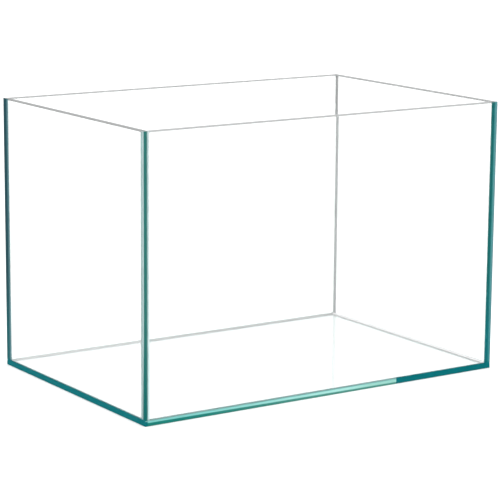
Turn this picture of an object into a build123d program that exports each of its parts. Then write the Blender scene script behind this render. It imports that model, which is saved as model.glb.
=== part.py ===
"""Rimless glass aquarium, 45 x 30 x 30 cm.

Five flat panes of clear float glass are bonded with clear silicone. The base pane lies under the
four walls, and the front and rear panes cover the ends of the two side panes. Each wall stands on
a thin bond, and each side pane meets the front and rear panes through an upright bond. A tooled
silicone fillet seals every inside corner. The tank has no frame, rim, brace or lid.

Sizes are in millimetres. The origin is the middle of the underside. +X runs along the front pane to
the right, +Y to the rear and +Z up.
"""

from build123d import *
import os

# Outside of the finished tank
tank_length = 450.0
tank_depth = 300.0
tank_height = 300.0

# Glass
wall_glass = 5.0
base_glass = 5.0
arris = 0.3  # width of the polished 45 degree bevel on every cut edge

# Silicone
bond_gap = 0.8  # thickness of the layer that joins two panes
bond_recess = 0.25  # how far the trimmed layer lies inside the outer faces
seal_leg = 2.0  # how far a fillet runs along each of its two panes
seal_hollow = 1.15  # radius of the fillet's hollow face, as a share of its leg
seal_stop = 1.5  # how far the upright fillets end below the rim

# Planes that the panes share
half_length = tank_length / 2
half_depth = tank_depth / 2
inner_x = half_length - wall_glass
inner_y = half_depth - wall_glass
wall_foot = base_glass + bond_gap
side_end = inner_y - bond_gap

PARTS_FOLDER = "parts"


def block(x, y, z):
    """A box between the two limits given for each axis."""
    size = [high - low for low, high in (x, y, z)]
    middle = [(low + high) / 2 for low, high in (x, y, z)]
    return Pos(*middle) * Box(*size)


def pane(x, y, z):
    """A sheet of glass with a bevel along all its cut edges."""
    sheet = block(x, y, z)
    return chamfer(sheet.edges(), arris)


def make_panes():
    """The base pane and the four walls that stand on it."""
    wall_z = (wall_foot, tank_height)
    full_x = (-half_length, half_length)
    between_y = (-side_end, side_end)
    return {
        "base_pane": pane(full_x, (-half_depth, half_depth), (0, base_glass)),
        "front_pane": pane(full_x, (-half_depth, -inner_y), wall_z),
        "rear_pane": pane(full_x, (inner_y, half_depth), wall_z),
        "left_pane": pane((-half_length, -inner_x), between_y, wall_z),
        "right_pane": pane((inner_x, half_length), between_y, wall_z),
    }


def make_bonds(panes):
    """The structural layers. Each fills the gap between two panes and the bevels that open onto it."""
    layer_z = (base_glass - arris, wall_foot + arris)
    upright_z = (wall_foot + arris, tank_height - arris)
    outer_x = half_length - bond_recess
    outer_y = half_depth - bond_recess
    end_y = side_end - arris
    spaces = {
        "base_bond_front": ((-outer_x, outer_x), (-outer_y, -inner_y), layer_z),
        "base_bond_rear": ((-outer_x, outer_x), (inner_y, outer_y), layer_z),
        "base_bond_left": ((-outer_x, -inner_x), (-inner_y, inner_y), layer_z),
        "base_bond_right": ((inner_x, outer_x), (-inner_y, inner_y), layer_z),
        "corner_bond_front_left": ((-outer_x, -inner_x), (-inner_y, -end_y), upright_z),
        "corner_bond_front_right": ((inner_x, outer_x), (-inner_y, -end_y), upright_z),
        "corner_bond_rear_left": ((-outer_x, -inner_x), (end_y, inner_y), upright_z),
        "corner_bond_rear_right": ((inner_x, outer_x), (end_y, inner_y), upright_z),
    }
    glass = list(panes.values())
    return {name: block(*space) - glass for name, space in spaces.items()}


def fillet_face():
    """The section of a fillet: two legs along the panes and a hollow face, from the inside corner out."""
    across = (seal_leg, 0)
    along = (0, seal_leg)
    legs = Polyline(across, (0, 0), along)
    hollow = RadiusArc(across, along, seal_leg * seal_hollow)
    return make_face(legs + hollow)


def make_seals():
    """The tooled fillets: four mitred runs round the base, and one up each corner."""
    section = fillet_face()

    def base_run(half_run, reach):
        """A run along X in the corner below y = -reach, mitred at 45 degrees at both ends."""
        corner = Plane((-half_run, -reach, base_glass), x_dir=(0, 1, 0), z_dir=(1, 0, 0))
        bar = extrude(corner * section, 2 * half_run)
        mitre = make_face(
            Polyline(
                (-half_run, -reach),
                (half_run, -reach),
                (half_run - seal_leg, -reach + seal_leg),
                (-half_run + seal_leg, -reach + seal_leg),
                close=True,
            )
        )
        return bar & extrude(Pos(0, 0, base_glass) * mitre, seal_leg)

    long_run = base_run(inner_x, inner_y)
    short_run = base_run(inner_y, inner_x)
    seals = {
        "base_seal_front": long_run,
        "base_seal_rear": Rot(0, 0, 180) * long_run,
        "base_seal_left": Rot(0, 0, -90) * short_run,
        "base_seal_right": Rot(0, 0, 90) * short_run,
    }
    base_ring = list(seals.values())

    upright_top = tank_height - seal_stop
    corners = {
        "corner_seal_front_left": (-inner_x, -inner_y, 0),
        "corner_seal_front_right": (inner_x, -inner_y, 90),
        "corner_seal_rear_right": (inner_x, inner_y, 180),
        "corner_seal_rear_left": (-inner_x, inner_y, -90),
    }
    for name, (x, y, turn) in corners.items():
        column = extrude(Pos(x, y, base_glass) * Rot(0, 0, turn) * section, upright_top - base_glass)
        seals[name] = column - base_ring
    return seals


def write_parts(nodes):
    os.makedirs(PARTS_FOLDER, exist_ok=True)
    for name, shape in nodes.items():
        export_step(shape, f"{PARTS_FOLDER}/{name}.step")


panes = make_panes()
nodes = {**panes, **make_bonds(panes), **make_seals()}
write_parts(nodes)
for name, shape in nodes.items():
    print(f"{name:24} {len(shape.solids())} solid  {shape.volume / 1000:9.2f} cm3")
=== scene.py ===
# %% [markdown]
# # A rimless glass aquarium
#
# The real object is five sheets of float glass and a few beads of clear silicone. Nothing covers them,
# so all that the eye gets is glass seen on its flat side, where it is nearly invisible, and glass seen
# on its cut side, where it is dark teal. Every shape already exists as a CAD solid. This lesson gives
# those solids their finishes, and gives the tank its floor, light and camera. First it loads them.

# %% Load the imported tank
import bpy
import math
from mathutils import Matrix, Vector


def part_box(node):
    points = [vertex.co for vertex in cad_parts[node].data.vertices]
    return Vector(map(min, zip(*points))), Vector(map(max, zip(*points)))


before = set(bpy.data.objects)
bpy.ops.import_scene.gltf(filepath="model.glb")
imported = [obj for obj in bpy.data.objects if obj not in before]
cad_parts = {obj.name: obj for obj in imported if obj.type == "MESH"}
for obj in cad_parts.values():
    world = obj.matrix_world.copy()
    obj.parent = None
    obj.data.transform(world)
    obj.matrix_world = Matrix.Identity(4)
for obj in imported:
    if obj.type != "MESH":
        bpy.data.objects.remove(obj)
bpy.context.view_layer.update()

# %% [markdown]
# ## Where the camera looks
#
# The photograph was matched by measuring the straight lines of the tank in it: the rims, the foot and
# the uprights. The camera stands to the left of the front. It looks across to the rear right and a
# little down, and leans by half a degree. Its three axes are worked out from those angles. A Track To
# constraint could aim it as well, but it would leave out the lean.

# %% Work out the camera's axes
turn, height_angle, roll = (math.radians(angle) for angle in (-33.832, 11.330, 0.447))

back = Vector((
    math.sin(turn) * math.cos(height_angle),
    -math.cos(turn) * math.cos(height_angle),
    math.sin(height_angle),
))
right = Vector((math.cos(turn), math.sin(turn), 0.0))
up = back.cross(right)
rolled_right = math.cos(roll) * right + math.sin(roll) * up
rolled_up = -math.sin(roll) * right + math.cos(roll) * up
print("looking along:", [round(-value, 3) for value in back])

# %% [markdown]
# ## Where the camera stands
#
# A long lens far away and a short lens close by would frame the tank equally well, but only one of
# them gives the lines their real convergence. The fit found it 2.4 m away and at twice the height of
# the rim. It puts the measured lines within a pixel of where the photograph has them, and 0.3 pixel
# off on average. The largest misses are at the top of the left upright and the right end of the foot,
# because the uprights in the photograph don't draw together quite as a perfect box's do. The lens has
# no shift, since a shift would move the tank in every other view as well.

# %% Place the camera
photo_width = 500
focal_pixels = 2141.1
sensor = 36.0
clip_far = 50.0
stand = Vector((-1.2951, -1.9335, 0.5987))

camera = bpy.data.objects.new("camera", bpy.data.cameras.new("camera"))
bpy.context.scene.collection.objects.link(camera)
bpy.context.scene.camera = camera
camera.data.sensor_width = sensor
camera.data.lens = focal_pixels / photo_width * sensor
camera.data.clip_end = clip_far
axes = Matrix((rolled_right, rolled_up, back)).transposed().to_4x4()
camera.matrix_world = Matrix.Translation(stand) @ axes
print("lens:", round(camera.data.lens, 1), "mm, distance:", round(stand.length, 2), "m")

# %% [markdown]
# ## Measuring the tank
#
# A finish that changes at an edge has to know where the edge is. The numbers could be typed in, but
# reading them from the solids keeps the edges right when the tank changes size. All of them are in
# metres from the middle of the underside. The tank is the same on both sides of its middle planes, so
# the distances of one corner serve for all four. A hair is what a mask allows for rounding.

# %% Read the planes from the solids
base_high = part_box("base_pane")[1]
front_low, front_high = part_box("front_pane")
side_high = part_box("left_pane")[1]
bond_low, bond_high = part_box("base_bond_front")
seal_low, seal_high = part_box("base_seal_front")
column_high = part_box("corner_seal_front_left")[1]
levels = sorted({round(point.co.z, 6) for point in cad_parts["base_pane"].data.vertices})

half_length = base_high.x
half_depth = base_high.y
base_top = base_high.z
rim = front_high.z
wall_foot = front_low.z
inner_x = -side_high.x
inner_y = -front_high.y
side_end = side_high.y
arris = levels[-1] - levels[-2]
bond_x = bond_high.x
bond_y = -bond_low.y
bond_foot = bond_low.z
bond_top = bond_high.z
seal_leg = seal_high.z - seal_low.z
column_top = column_high.z
hair = 0.00003
print("glass", round(base_top, 4), "arris", round(arris, 5), "fillet", round(seal_leg, 4))

# %% [markdown]
# ## A tree that adds its own nodes
#
# Each finish is a tree of shader nodes. They could be placed by hand in the Shader editor, but a few
# hundred of them are easier to read as text. One method adds any node: its settings come first,
# because some of them change which sockets the node has, and the sockets come after. A finish is
# built up as a maker would do it, in layers: each one covers the last where its mask is 1.

# %% The nodes of one finish
class Tree:
    """The nodes of one finish, and the surface that they make so far."""

    def __init__(self, nodes_of):
        nodes_of.use_nodes = True
        self.tree = nodes_of.node_tree
        self.tree.nodes.clear()
        self.surface = None

    def node(self, kind, settings=None, sockets=None):
        """Adds a node: its settings first, then a value or a link for each of its sockets."""
        node = self.tree.nodes.new(kind)
        for name, value in (settings or {}).items():
            setattr(node, name, value)
        for name, value in (sockets or {}).items():
            socket = node.inputs[name]
            if isinstance(value, Field):
                value = value.socket
            if isinstance(value, bpy.types.NodeSocket):
                self.tree.links.new(value, socket)
            elif socket.type == "RGBA":
                socket.default_value = (*value[:3], 1.0)
            else:
                socket.default_value = value
        return node

    def field(self, *request, output=0):
        """A node's output as a number to calculate with."""
        return Field(self, self.node(*request).outputs[output])

    def mixed(self, mask, under, over):
        """One surface over another, where the mask is 1."""
        return self.node("ShaderNodeMixShader", {}, {0: mask, 1: under, 2: over}).outputs[0]

    def lay(self, mask, over):
        """Covers the surface so far, where the mask is 1."""
        self.surface = self.mixed(mask, self.surface, over)

    def say(self, step):
        print(f"{step}: {len(self.tree.nodes)} nodes so far")


print("a tree can: node, field, mixed, lay and say")

# %% [markdown]
# ## Shader maths as plain expressions
#
# A mask is a number that is 1 on the part of the surface that a finish covers and 0 elsewhere. In the
# node editor each one would be a chain of Math nodes. Here a small class wraps a socket, so that
# `(height > 0.1) & (width < 0.2)` writes the chain: `&` multiplies two masks, and `|` takes the larger.

# %% A number that varies over a surface
class Field:
    """A socket that Python's own signs can calculate with."""

    def __init__(self, owner, socket):
        self.owner = owner
        self.socket = socket

    def maths(self, operation, first, second=0.0):
        return self.owner.field("ShaderNodeMath", {"operation": operation}, {0: first, 1: second})

    def __add__(self, other):
        return self.maths("ADD", self, other)

    __radd__ = __add__

    def __sub__(self, other):
        return self.maths("SUBTRACT", self, other)

    def __rsub__(self, other):
        return self.maths("SUBTRACT", other, self)

    def __mul__(self, other):
        return self.maths("MULTIPLY", self, other)

    __rmul__ = __mul__
    __and__ = __mul__

    def __or__(self, other):
        return self.maths("MAXIMUM", self, other)

    def __gt__(self, other):
        return self.maths("GREATER_THAN", self, other)

    def __lt__(self, other):
        return self.maths("LESS_THAN", self, other)

    def __abs__(self):
        return self.maths("ABSOLUTE", self)


print("signs for masks: + - * & | > < and abs()")

# %% [markdown]
# ## Where a point is
#
# Every solid sits at the origin with its place in its mesh, so its Object coordinates are the tank's
# own, and the masks are made from them. Most masks only need how far out a point is from the two
# middle planes. Seen from the rear, left and right change places, and `rightward` allows for that.
# `outside` tells air from glass. A cut edge needs it: from the air it looks dark, but light that runs
# inside the sheet still has to get out through it.

# %% The coordinates of a point
class Spot:
    """A point on the tank, and how far out it is from the two middle planes."""

    def __init__(self, tree):
        self.tree = tree
        coordinates = tree.node("ShaderNodeTexCoord").outputs["Object"]
        split = tree.node("ShaderNodeSeparateXYZ", {}, {0: coordinates})
        self.x, self.y, self.z = (Field(tree, socket) for socket in split.outputs)
        self.out_x = abs(self.x)
        self.out_y = abs(self.y)

    def rightward(self):
        """How far to the right it is, for someone who faces the nearer long side."""
        return self.x * (1 - (self.y > 0.0) * 2)

    def outside(self):
        """1 where light meets the face from the air, and 0 from within the glass."""
        return 1 - self.tree.field("ShaderNodeNewGeometry", output="Backfacing")


def between(value, low, high):
    return (value > low) & (value < high)


print("outer faces at x", round(half_length, 4), "and y", round(half_depth, 4))

# %% [markdown]
# ## The faces of the glass that silicone wets
#
# Where silicone wets glass there is no air between them, and the border between them nearly
# disappears. Ray tracers get this wrong when two solids only touch: the ray leaves one, crosses a gap
# of nothing and is mirrored. The cure is to make the touching faces clear, so that light passes
# straight from sheet to bead to sheet. This mask lists where that is on the glass: the foot of the
# walls, the upright joints, and the legs of the fillets.

# %% Wetted glass
def wetted(spot):
    side_wall = between(spot.out_x, inner_x - hair, bond_x) & (spot.out_y < bond_y)
    end_wall = between(spot.out_y, inner_y - hair, bond_y) & (spot.out_x < bond_x)
    foot = between(spot.z, bond_foot - hair, bond_top + hair) & (side_wall | end_wall)
    pane_end = between(spot.out_y, side_end - arris - hair, inner_y + hair)
    joint = between(spot.out_x, inner_x - hair, bond_x) & pane_end
    side_leg = between(spot.out_x, inner_x - seal_leg, inner_x + hair) & (spot.out_y < inner_y + hair)
    end_leg = between(spot.out_y, inner_y - seal_leg, inner_y + hair) & (spot.out_x < inner_x + hair)
    ring = between(spot.z, base_top - hair, base_top + seal_leg) & (side_leg | end_leg)
    column = side_leg & end_leg & (spot.z < column_top)
    return foot | joint | ring | column


print("silicone reaches up to z", round(column_top, 4))

# %% [markdown]
# ## The faces of the silicone that touch something
#
# The silicone needs the same mask from its own side. Listing its touching faces would take as many
# lines again, so this lists the few that are free and takes the rest: those trimmed with a blade, the
# upper ends of the uprights, and the hollow faces. A mitre, where two fillets meet, looks like a part
# of a hollow face by its place, so it is taken out of them again.

# %% Bedded silicone
def bedded(spot):
    trimmed = (spot.out_x > bond_x - hair) | (spot.out_y > bond_y - hair)
    stopped = spot.z > column_top - hair
    hollow = (spot.out_x < inner_x - hair) & (spot.out_y < inner_y - hair) & (spot.z > base_top + hair)
    off_mitre = abs((inner_x - spot.out_x) - (inner_y - spot.out_y))
    mitre = (off_mitre < hair) & (spot.z < base_top + seal_leg)
    return 1 - (trimmed | stopped | hollow & (1 - mitre))


print("fillets are mitred up to z", round(base_top + seal_leg, 4))

# %% [markdown]
# ## Soft steps and wandering tones
#
# Few lines on this tank are hard, so most masks fade over a millimetre or two. Nor is any tone quite
# even. A noise texture moves each one between a darker and a lighter shade, in patches of a few
# millimetres on a ground rim and a few centimetres along a polished edge. A painted image could do
# the same, but noise on Object coordinates needs no unwrapping and fits every pane.

# %% Fades, blends and drifts
drift_detail = 2.0


def fade(tree, value, start, end):
    """0 before start and 1 past end, with a soft step between them."""
    soft = {"interpolation_type": "SMOOTHSTEP"}
    return tree.field("ShaderNodeMapRange", soft, {"Value": value, "From Min": start, "From Max": end})


def blended(tree, share, first, second):
    """A colour between two others."""
    mixer = tree.node("ShaderNodeMix", {"data_type": "RGBA"}, {0: share, 6: first, 7: second})
    return mixer.outputs[2]


def drift(tree, dark, light, patch):
    """A colour that wanders between two tones. Patch is the size of a patch, in metres."""
    point = tree.node("ShaderNodeTexCoord").outputs["Object"]
    noise = {"Vector": point, "Scale": 1 / patch, "Detail": drift_detail}
    return blended(tree, tree.node("ShaderNodeTexNoise", {}, noise).outputs[0], dark, light)


print("fade, blended and drift are ready")

# %% [markdown]
# ## Clear and open surfaces
#
# Glass and silicone that can be seen into are clear: they let light through and bend it. The
# Principled shader does that with its transmission at 1. Its Specular Tint is the colour of its mirror
# image, so a tint below white takes glare off. An open surface does nothing but tint the light that
# crosses it. It is for the touching faces.

# %% Surfaces that let light through
white = (1.0, 1.0, 1.0)


def clear(tree, tint, ior, mirror=white, normal=None):
    """Glass or silicone."""
    sockets = {
        "Base Color": tint,
        "Roughness": 0.0,
        "IOR": ior,
        "Transmission Weight": 1.0,
        "Specular Tint": mirror,
    }
    if normal is not None:
        sockets["Normal"] = normal
    return tree.node("ShaderNodeBsdfPrincipled", {}, sockets).outputs[0]


def open_face(tree, tint=white):
    return tree.node("ShaderNodeBsdfTransparent", {}, {"Color": tint}).outputs[0]


print("clear and open surfaces are ready")

# %% [markdown]
# ## Solid surfaces
#
# A solid surface stands for what the eye gets from a cut edge, where light has run so far through the
# sheet that only its teal is left. Fine marks from the grinding cross it, which change its roughness
# and dent it a little. It has nearly no mirror of its own, so its IOR is close to that of air: in this
# white room an edge with a real mirror would turn grey.

# %% Surfaces with marks from the wheel
mark_scale = 1400.0
mark_detail = 3.0
mark_depth = 0.0001
rough_spread = 0.2
faint_ior = 1.08
faint_mirror = 0.3
polished = {"roughness": 0.35, "marks": 0.15}


def solid(tree, colour, roughness, marks):
    """A ground, polished or trimmed edge, opaque, whose colour holds painted light and shade."""
    point = tree.node("ShaderNodeTexCoord").outputs["Object"]
    noise = {"Vector": point, "Scale": mark_scale, "Detail": mark_detail}
    scratches = tree.node("ShaderNodeTexNoise", {}, noise).outputs[0]
    raised = {"Strength": marks, "Distance": mark_depth, "Height": scratches}
    sockets = {
        "Base Color": colour,
        "Roughness": Field(tree, scratches) * rough_spread + (roughness - rough_spread / 2),
        "IOR": faint_ior,
        "Specular IOR Level": faint_mirror,
        "Normal": tree.node("ShaderNodeBump", {}, raised).outputs[0],
    }
    return tree.node("ShaderNodeBsdfPrincipled", {}, sockets).outputs[0]


print("marks are about", round(1000 / mark_scale, 1), "mm apart")

# %% [markdown]
# ## The panes: clear glass
#
# All five panes are cut from one kind of sheet, so one finish serves them, and the masks find the
# places that differ. It starts as clear glass. The base gets a weaker mirror than real glass has. With
# a full one it would show the rear upright standing on its head, and the photograph doesn't.

# %% Start the float glass
glass_ior = 1.52
face_dark = (0.985, 0.99, 0.99)
face_patch = 0.06
bed_mirror = (0.30, 0.30, 0.30)

float_glass = bpy.data.materials.new("float_glass")
pane = Tree(float_glass)
at = Spot(pane)
base = at.z < base_top + hair
walls = 1 - base
face_tint = drift(pane, face_dark, white, face_patch)
pane.surface = clear(pane, face_tint, glass_ior)
pane.lay(base, clear(pane, face_tint, glass_ior, bed_mirror))
pane.say("clear glass")

# %% [markdown]
# ## The panes: less glare in the edges
#
# At the cut edges of the base and round the upright joints, sheets mirror each other and glitter. The
# photograph has none of that. Dark cards round the tank could take it away, but they would show in
# other views, so these places get a mirror that is weak and teal.

# %% Take the glare off the cuts and corners
cut_tint = (0.97, 0.98, 0.97)
cut_mirror = (0.10, 0.50, 0.55)
corner_glare = 0.004

long_face = at.out_y > half_depth - arris - hair
short_face = at.out_x > half_length - arris - hair
long_cut = base & long_face
short_cut = base & short_face
corner = walls & (at.out_x > inner_x - corner_glare) & (at.out_y > inner_y - corner_glare)
pane.lay(corner | long_cut | short_cut, clear(pane, cut_tint, glass_ior, cut_mirror))
pane.say("less glare")

# %% [markdown]
# ## The panes: the ground rim
#
# The upper edges of the walls are ground, and they are the grey lines that draw the opening. Their grey
# is partly that ground finish and partly painted shade. The top faces alone would draw them too thin,
# so the grey starts at full strength there and fades out over the first two millimetres of each face,
# as painted shade. The rims of the two side panes are painted darker than the long ones, as painted
# shade, and the left one is the darkest.

# %% Grey for the rim
rim_fade = (0.0006, 0.0020)
rim_patch = 0.006
ground = {"roughness": 0.5, "marks": 0.2}
long_rim_dark, long_rim_light = (0.35, 0.354, 0.354), (0.42, 0.424, 0.424)
left_rim_dark, left_rim_light = (0.27, 0.273, 0.273), (0.33, 0.334, 0.334)
right_rim_dark, right_rim_light = (0.31, 0.314, 0.314), (0.38, 0.384, 0.384)

top = 1 - fade(pane, rim - at.z, *rim_fade)
long_rim = solid(pane, drift(pane, long_rim_dark, long_rim_light, rim_patch), **ground)
left_rim_shaded = solid(pane, drift(pane, left_rim_dark, left_rim_light, rim_patch), **ground)
right_rim_shaded = solid(pane, drift(pane, right_rim_dark, right_rim_light, rim_patch), **ground)
# The side rims are shaded copies of the long rim: their darker grey is painted shade.
side_rim_shaded = pane.mixed(at.x > 0.0, left_rim_shaded, right_rim_shaded)
pane.lay(top, long_rim)
pane.lay(top & (at.out_y < side_end + hair), side_rim_shaded)
pane.say("rim")

# %% [markdown]
# ## The panes: what a cut edge shows
#
# A cut edge shows light that has run through the sheet from the other end, so its tones come from
# whatever stands round the tank. The photograph doesn't show that. Cards could be set up until the
# edges look right, but they would be guesses and would show in other views. So the tones are painted
# on the outer faces as the photograph has them, and the lesson says so wherever it is done. The price
# is that they stay the same from every side, where those of a real tank change a little.
#
# This cell has what all of these strips share: the distances in from the outer faces, and a height
# that runs from 0 at the foot to 1 at 12 cm, over which the corners change their tones.

# %% Distances for the painted strips
tones_settle = 0.12

outside = at.outside()
rightward = at.rightward()
in_x = half_length - at.out_x
in_y = half_depth - at.out_y
height = fade(pane, at.z, 0.0, tones_settle)
# Pale corners carry painted light, and dark corners carry painted shade.
pale_pair = (at.x * at.y) > 0.0
pale_corner = outside & walls & pale_pair
dark_corner = outside & walls & (1 - pale_pair)
pane.say("distances")

# %% [markdown]
# ## The panes: the front left corner, on the short face
#
# This corner and the one diagonally across from it have a dark core right at the edge and a pale veil
# beside it. On the short face the core is 4 mm wide at the foot and narrows upwards, and so does the
# veil behind it. Both are painted: the core is painted shade, and the veil is painted light.

# %% A core and a veil on the short face
core_low, core_high = (0.006, 0.117, 0.109), (0.026, 0.143, 0.128)
veil_tone = (0.45, 0.595, 0.60)
core_width = 0.0040
core_edge = (-0.0010, 0.0008)
veil_start, veil_end = 0.0058, 0.0088
short_veil_share = 0.75
narrowing = 0.0016

core = solid(pane, blended(pane, height, core_low, core_high), **polished)
veil = solid(pane, veil_tone, **polished)
narrower = height * narrowing
core_cover = 1 - fade(pane, in_y - (core_width - narrower), *core_edge)
veil_cover = 1 - fade(pane, in_y, veil_start, veil_end - narrower)
pane.lay(pale_corner & short_face & veil_cover * short_veil_share, veil)
pane.lay(pale_corner & short_face & core_cover, core)
pane.say("core and veil, short face")

# %% [markdown]
# ## The panes: the front left corner, on the long face
#
# The long face has the same painted shade and painted light, but here the core melts into the veil
# instead of ending in a line, and neither changes its width. Together they are 6 mm wide.

# %% A core and a veil on the long face
core_beside = (0.0016, 0.0043)
veil_beside = (0.0040, 0.0063)
long_veil_share = 0.6

pane.lay(pale_corner & long_face & (1 - fade(pane, in_x, *veil_beside)) * long_veil_share, veil)
pane.lay(pale_corner & long_face & (1 - fade(pane, in_x, *core_beside)), core)
pane.say("core and veil, long face")

# %% [markdown]
# ## The panes: the front right corner, on the long face
#
# The other two corners are dark all the way, and their darkness is painted shade. On the long face the
# strip of painted shade is 9 mm wide, and shaded in three tones from the outer edge inwards: the edge
# is the lightest, steel follows, and the innermost, in front of the fillet, is the darkest. The
# borders between them lean a little.

# %% A ribbon in three tones
edge_low, edge_high = (0.046, 0.200, 0.225), (0.105, 0.245, 0.265)
steel_low, steel_high = (0.022, 0.185, 0.195), (0.045, 0.222, 0.230)
inmost_low, inmost_high = (0.005, 0.125, 0.142), (0.008, 0.108, 0.106)
lean = 0.0007
edge_to_steel = (0.0004, 0.0028)
steel_to_inmost = (0.0026, 0.0044)
ribbon_end = (0.0076, 0.0098)
ribbon_share = 0.92

edge = blended(pane, height, edge_low, edge_high)
steel = blended(pane, height, steel_low, steel_high)
inmost = blended(pane, height, inmost_low, inmost_high)
inward = in_x - height * lean
ribbon = blended(pane, fade(pane, inward, *edge_to_steel), edge, steel)
ribbon = blended(pane, fade(pane, inward, *steel_to_inmost), ribbon, inmost)
ribbon_cover = (1 - fade(pane, in_x, *ribbon_end)) * ribbon_share
pane.lay(dark_corner & long_face & ribbon_cover, solid(pane, ribbon, **polished))
pane.say("ribbon")

# %% [markdown]
# ## The panes: the rear left corner, on the short face
#
# Seen from the side, a dark corner is a slate blue that gets nearly black higher up. It thins out
# to a blue haze, which ends softly about 12 mm in. All of this is painted shade.

# %% Slate and haze
slate_low, slate_high = (0.016, 0.107, 0.118), (0.014, 0.056, 0.070)
haze_low, haze_high = (0.070, 0.165, 0.185), (0.056, 0.142, 0.161)
slate_to_haze = (0.0050, 0.0088)
haze_end = (0.0090, 0.0142)

slate = blended(pane, height, slate_low, slate_high)
haze = blended(pane, height, haze_low, haze_high)
thinning = blended(pane, fade(pane, in_y, *slate_to_haze), slate, haze)
haze_cover = 1 - fade(pane, in_y, *haze_end)
pane.lay(dark_corner & short_face & haze_cover, solid(pane, thinning, **polished))
pane.say("slate and haze")

# %% [markdown]
# ## The panes: the long edges of the base
#
# The cut edge of the base is the most colourful place on the tank. Along the front it has a mint band
# of painted light above and a green painted shade below. The line between them sinks from left to
# right. Both tones lighten towards the middle, and past it the mint dims a little again.

# %% Mint above and shade below
mint_left, mint_middle, mint_right = (0.185, 0.535, 0.50), (0.345, 0.66, 0.605), (0.285, 0.575, 0.505)
shade_left, shade_right = (0.014, 0.185, 0.156), (0.076, 0.255, 0.212)
line_height = 0.0025
line_slope = 0.0052
line_edge = (-0.0004, 0.0004)
to_middle = (-0.2, 0.03)
past_middle = (0.025, 0.065)
well_polished = {"roughness": 0.3, "marks": 0.15}

above_line = fade(pane, at.z - (line_height - rightward * line_slope), *line_edge)
lighter = fade(pane, rightward, *to_middle)
mint = blended(pane, lighter, mint_left, mint_middle)
mint = blended(pane, fade(pane, rightward, *past_middle), mint, mint_right)
shade = blended(pane, lighter, shade_left, shade_right)
mint_light_over_shade = blended(pane, above_line, shade, mint)
pane.lay(outside & long_cut, solid(pane, mint_light_over_shade, **well_polished))
pane.say("mint and shade")

# %% [markdown]
# ## The panes: the seam over the foot
#
# Just above that edge the walls begin. Their lowest arris and the trimmed bond under it read as one
# thin seam of a duller green, which is painted shade. The glass's share of it is painted here, and the
# bond's share further down, with the same tones.

# %% The seam along the foot of the walls
seam_dark, seam_light = (0.17, 0.38, 0.36), (0.22, 0.44, 0.42)
seam_patch = 0.012
foot_band = 0.0003

foot = walls & (at.z < wall_foot + arris + foot_band)
pane.lay(outside & foot & long_face, solid(pane, drift(pane, seam_dark, seam_light, seam_patch), **polished))
pane.say("seam")

# %% [markdown]
# ## The panes: the deep teal of the foot
#
# The short edges of the base are one deep teal from end to end. The long ones turn to it too: at about
# seven tenths of their length from the left, with a sharp border, and softly at their left end. The
# tone is the glass's own teal, and its darkness is painted shade. It covers edge and seam alike, and
# fades out a millimetre up the wall, so that its upper border is soft.

# %% Deep teal
deep_dark, deep_light = (0.002, 0.130, 0.145), (0.003, 0.146, 0.164)
deep_patch = 0.03
deep_from = 0.093
end_fade = (0.0020, 0.0042)
fringe_fade = (0.0066, 0.0075)
fringe_share = 0.7

deep = solid(pane, drift(pane, deep_dark, deep_light, deep_patch), **polished)
crossed = rightward > deep_from
turned = crossed | (1 - fade(pane, in_x, *end_fade))
fringe = (1 - fade(pane, at.z, *fringe_fade)) * fringe_share
pane.lay(outside & (long_cut | foot & long_face) & turned, deep)
pane.lay(outside & (short_cut | foot & short_face), deep)
pane.lay(outside & walls & (short_face | long_face & crossed) & fringe, deep)
pane.say("deep teal")

# %% [markdown]
# ## The panes: touching faces and upright joints
#
# The touching faces lie over all that came before. In an upright joint they also tint what crosses
# them, since a bead that is as deep as the glass and less than a millimetre thick is never quite
# clear. The four tints differ. They were chosen so that each upright has its colour from the
# photograph. The keys are the sides that a corner is on: -1 for left or front, and 1 for right or rear.

# %% Open the touching faces and tint the joints
# These tints are partly the clouding of the bead and partly painted shade, the grey of the rear right one
# most of all.
joint_tints_cloud_and_shade = {
    (-1, -1): (0.45, 0.68, 0.67),
    (1, -1): (0.15, 0.60, 0.63),
    (-1, 1): (0.18, 0.57, 0.61),
    (1, 1): (0.32, 0.33, 0.33),
}

pane.lay(wetted(at), open_face(pane))
pane_end = between(at.out_y, side_end - arris - hair, side_end + hair)
joint = walls & between(at.out_x, inner_x - hair, bond_x) & pane_end
for (side, end), tint in joint_tints_cloud_and_shade.items():
    pane.lay(joint & (at.x * side > 0.0) & (at.y * end > 0.0), open_face(pane, tint))
pane.say("touching faces")

# %% [markdown]
# ## The panes: the grey of the rear upright
#
# Seen through the tank, the rear right upright is a soft grey line that is wider than its joint. That
# grey is painted shade: a thin band of it is painted on the inner faces of the side panes, at that
# corner and at the one diagonally across. It stops below the rim.

# %% Painted shade beside the joint
grey_shade_dark, grey_shade_light = (0.24, 0.242, 0.242), (0.32, 0.323, 0.323)
grey_shade_patch = 0.01
grey_shade_end = (0.0100, 0.0125)
grey_shade_share = 0.9
grey_shade_surface = {"roughness": 0.5, "marks": 0.15}

grey_shade = solid(pane, drift(pane, grey_shade_dark, grey_shade_light, grey_shade_patch), **grey_shade_surface)
inner_face = walls & between(at.out_x, inner_x - hair, inner_x + hair) & (at.out_y < inner_y + hair)
grey_shade_cover = (1 - fade(pane, in_y, *grey_shade_end)) * grey_shade_share
pane.lay(inner_face & pale_pair & (1 - top) & grey_shade_cover, grey_shade)
pane.say("grey_shade")

# %% [markdown]
# ## The panes: the colour of float glass
#
# Float glass holds a little iron, which takes red out of the light. Through 5 mm nothing shows, and
# along half a metre it is a deep teal. A coloured surface can't do that, but a volume can: it takes
# away a share for each metre that the light travels. Blender's Volume Absorption has a colour and a
# density, and the loss per metre of each colour is (1 - colour) times density. So the density is set
# a little above the largest loss, and the colour follows from it.

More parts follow.
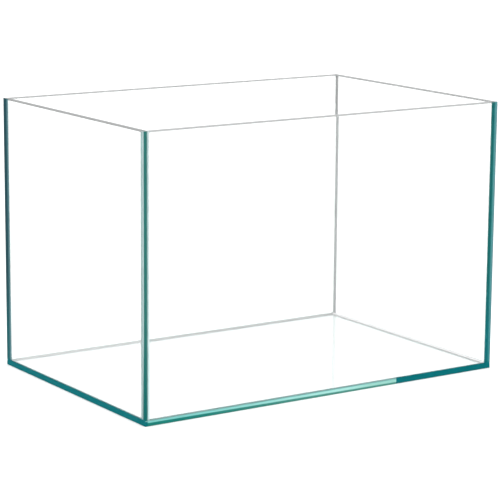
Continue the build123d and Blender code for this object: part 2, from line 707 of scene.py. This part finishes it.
# %% Fill the panes with iron-tinted glass
loss_per_metre = (4.0, 1.5, 1.65)
headroom = 1.02

density = max(loss_per_metre) * headroom
iron_colour = [1 - loss / density for loss in loss_per_metre]
iron = pane.node("ShaderNodeVolumeAbsorption", {}, {"Color": iron_colour, "Density": density})
pane.node("ShaderNodeOutputMaterial", {}, {"Surface": pane.surface, "Volume": iron.outputs[0]})
print("iron colour:", [round(share, 3) for share in iron_colour], "density:", round(density, 2))
pane.say("float glass")

# %% [markdown]
# ## The trimmed bonds
#
# The bonds and the fillets are the same clear silicone, but they are finished by different hands. A
# bond is squeezed between two sheets and trimmed with a blade, so only a thin line of it shows. There
# it carries the same painted shade as the glass beside it: slate up the dark corners, the seam along
# the foot, and the deep teal on the short sides and past seven tenths of the long ones. Its other
# faces touch glass or silicone, apart from the upper ends of the upright bonds, which stay clear.

# %% The finish of the trimmed bonds
silicone_ior = 1.41
bond_tint = (0.98, 0.99, 0.99)
trimmed = {"roughness": 0.4, "marks": 0.2}

bond_silicone = bpy.data.materials.new("bond_silicone")
bond = Tree(bond_silicone)
on_bond = Spot(bond)
bond_outside = on_bond.outside()
side_cut = on_bond.out_x > bond_x - hair
end_cut = on_bond.out_y > bond_y - hair
low = on_bond.z < bond_top + hair
dark_pair = (on_bond.x * on_bond.y) < 0.0
bond_height = fade(bond, on_bond.z, 0.0, tones_settle)
bond_slate = solid(bond, blended(bond, bond_height, slate_low, slate_high), **trimmed)
bond_seam = solid(bond, drift(bond, seam_dark, seam_light, seam_patch), **trimmed)
bond_deep = solid(bond, drift(bond, deep_dark, deep_light, deep_patch), **trimmed)

bond.surface = clear(bond, bond_tint, silicone_ior)
bond.lay(bond_outside & (1 - low) & side_cut & dark_pair, bond_slate)
bond.lay(bond_outside & low & end_cut, bond_seam)
bond.lay(bond_outside & low & (side_cut | end_cut & (on_bond.rightward() > deep_from)), bond_deep)
bond.lay(bedded(on_bond), open_face(bond))
bond.node("ShaderNodeOutputMaterial", {}, {"Surface": bond.surface})
bond.say("bonds")

# %% [markdown]
# ## The tooled fillets: gel with ripples
#
# A fillet is drawn along the corner with a rounded tool, which leaves slow ripples in its hollow face.
# They could be modelled, but they are a fraction of a millimetre deep, and a bump does as well. Clear
# silicone round the base would bend dark slivers of the cut edges into view, which the photograph
# doesn't have. So the ring there lets six tenths of the light through without bending it.

# %% Start the fillets
gel_tint = (0.97, 0.98, 0.98)
ripple_scale = 55.0
ripple_detail = 1.0
ripple_strength = 0.5
ripple_depth = 0.0002
ring_openness = 0.6

seal_silicone = bpy.data.materials.new("seal_silicone")
fillet = Tree(seal_silicone)
on_fillet = Spot(fillet)
gel_point = fillet.node("ShaderNodeTexCoord").outputs["Object"]
gel_noise = {"Vector": gel_point, "Scale": ripple_scale, "Detail": ripple_detail}
ripples = fillet.node("ShaderNodeTexNoise", {}, gel_noise).outputs[0]
waves = {"Strength": ripple_strength, "Distance": ripple_depth, "Height": ripples}
bump = fillet.node("ShaderNodeBump", {}, waves).outputs[0]
ring = on_fillet.z < base_top + seal_leg
fillet.surface = clear(fillet, gel_tint, silicone_ior, normal=bump)
fillet.lay(ring * ring_openness, open_face(fillet))
fillet.say("gel")

# %% [markdown]
# ## The tooled fillets: lines of painted shade
#
# Inside the tank the foot of the walls shows as one thin grey line. That line is painted shade, on the
# lowest part of the ring: a millimetre high on the long runs and less on the short ones. Clear, the
# short runs would show that line a second time, mirrored, with teal between the two. So a pale coat of
# painted light covers the whole of them, under the line.

# %% Painted shade at the foot of the fillets
tooled = {"roughness": 0.3, "marks": 0.2}
foot_line_patch = 0.006
long_line_dark, long_line_light = (0.38, 0.37, 0.37), (0.45, 0.44, 0.44)
short_line_dark, short_line_light = (0.40, 0.38, 0.38), (0.48, 0.46, 0.46)
pale_cover_dark, pale_cover_light = (0.70, 0.68, 0.68), (0.80, 0.78, 0.78)
long_line_fade = (0.0009, 0.0014)
short_line_fade = (0.0003, 0.0006)

long_line_shade = solid(fillet, drift(fillet, long_line_dark, long_line_light, foot_line_patch), **tooled)
short_line_shade = solid(fillet, drift(fillet, short_line_dark, short_line_light, foot_line_patch), **tooled)
pale_light_cover = solid(fillet, drift(fillet, pale_cover_dark, pale_cover_light, foot_line_patch), **tooled)
rise = on_fillet.z - base_top
short_run = (inner_y - on_fillet.out_y) > (inner_x - on_fillet.out_x)
fillet.lay(ring & (1 - fade(fillet, rise, *long_line_fade)) & (1 - short_run), long_line_shade)
fillet.lay(ring & short_run, pale_light_cover)
fillet.lay(ring & (1 - fade(fillet, rise, *short_line_fade)) & short_run, short_line_shade)
fillet.lay(bedded(on_fillet), open_face(fillet))
fillet.node("ShaderNodeOutputMaterial", {}, {"Surface": fillet.surface})
fillet.say("fillets")

# %% [markdown]
# ## Handing out the finishes
#
# The solids keep their shapes, and only their material slots change. Their names say what they are,
# so three rules on the names do for all of them.

# %% Give each solid its finish
for name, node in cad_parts.items():
    node.data.materials.clear()
    if name.endswith("_pane"):
        node.data.materials.append(float_glass)
    elif "_bond_" in name:
        node.data.materials.append(bond_silicone)
    else:
        node.data.materials.append(seal_silicone)
print("finishes given to", len(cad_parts), "solids")

# %% [markdown]
# ## The floor
#
# Glass has no look of its own: it shows what surrounds it. The photograph has white all round, so the
# floor is a matt white sheet. From the photograph's angle it fills the whole background, so it has to
# reach well past the tank. It lies a tenth of a millimetre below the glass. If the two touched, the
# renderer couldn't tell which comes first.

# %% A white floor
floor_size = 20.0
floor_drop = 0.0001
floor_white = (0.92, 0.92, 0.92)

bpy.ops.mesh.primitive_plane_add(size=floor_size, location=(0.0, 0.0, -floor_drop))
floor = bpy.context.object
floor.name = "floor"
floor_material = bpy.data.materials.new("floor")
matt = Tree(floor_material)
matt_sockets = {"Base Color": floor_white, "Roughness": 1.0, "Specular IOR Level": 0.0}
matt_surface = matt.node("ShaderNodeBsdfPrincipled", {}, matt_sockets).outputs[0]
matt.node("ShaderNodeOutputMaterial", {}, {"Surface": matt_surface})
floor.data.materials.append(floor_material)
matt.say("floor")

# %% [markdown]
# ## The sky
#
# Lamps would leave their shapes in the glass, and a sky that is soft all over leaves none. Overhead it
# is bright enough to light the floor past white, which also hides the tank's faint shadow. From the
# horizon up to 14 degrees it is just white. The photograph's angle looks down and never sees that
# part, but it is the background when the tank is seen from low down.

# %% A soft sky
horizon_light = 1.0
overhead_light = 1.7
brighter_from = 0.24
brightest_from = 0.75

sky = bpy.data.worlds.new("sky")
bpy.context.scene.world = sky
dome = Tree(sky)
direction = dome.node("ShaderNodeTexCoord").outputs["Generated"]
dome_height = dome.node("ShaderNodeSeparateXYZ", {}, {0: direction}).outputs[2]
climb = {
    "Value": dome_height,
    "From Min": brighter_from,
    "From Max": brightest_from,
    "To Min": horizon_light,
    "To Max": overhead_light,
}
strength = dome.node("ShaderNodeMapRange", {"interpolation_type": "SMOOTHSTEP"}, climb).outputs[0]
glow = dome.node("ShaderNodeBackground", {}, {"Color": white, "Strength": strength}).outputs[0]
dome.node("ShaderNodeOutputWorld", {}, {"Surface": glow})
print("brighter above", round(math.degrees(math.asin(brighter_from))), "degrees")

# %% [markdown]
# ## Letting the light run
#
# Light that enters the end of a sheet is mirrored dozens of times between its two faces before it
# comes out. A path tracer that stops after a dozen bounces leaves black there, so the limits are
# raised. The plain Standard view keeps white as white.

# %% Bounces and view
glass_bounces = 96
open_bounces = 64
matt_bounces = 4

scene = bpy.context.scene
scene.view_settings.view_transform = "Standard"
scene.cycles.max_bounces = glass_bounces
scene.cycles.glossy_bounces = glass_bounces
scene.cycles.transmission_bounces = glass_bounces
scene.cycles.diffuse_bounces = matt_bounces
scene.cycles.transparent_max_bounces = open_bounces
scene.cycles.caustics_reflective = True
scene.cycles.caustics_refractive = True
scene.cycles.blur_glossy = 0.0
print("bounces:", glass_bounces, "in glass,", open_bounces, "through open faces")
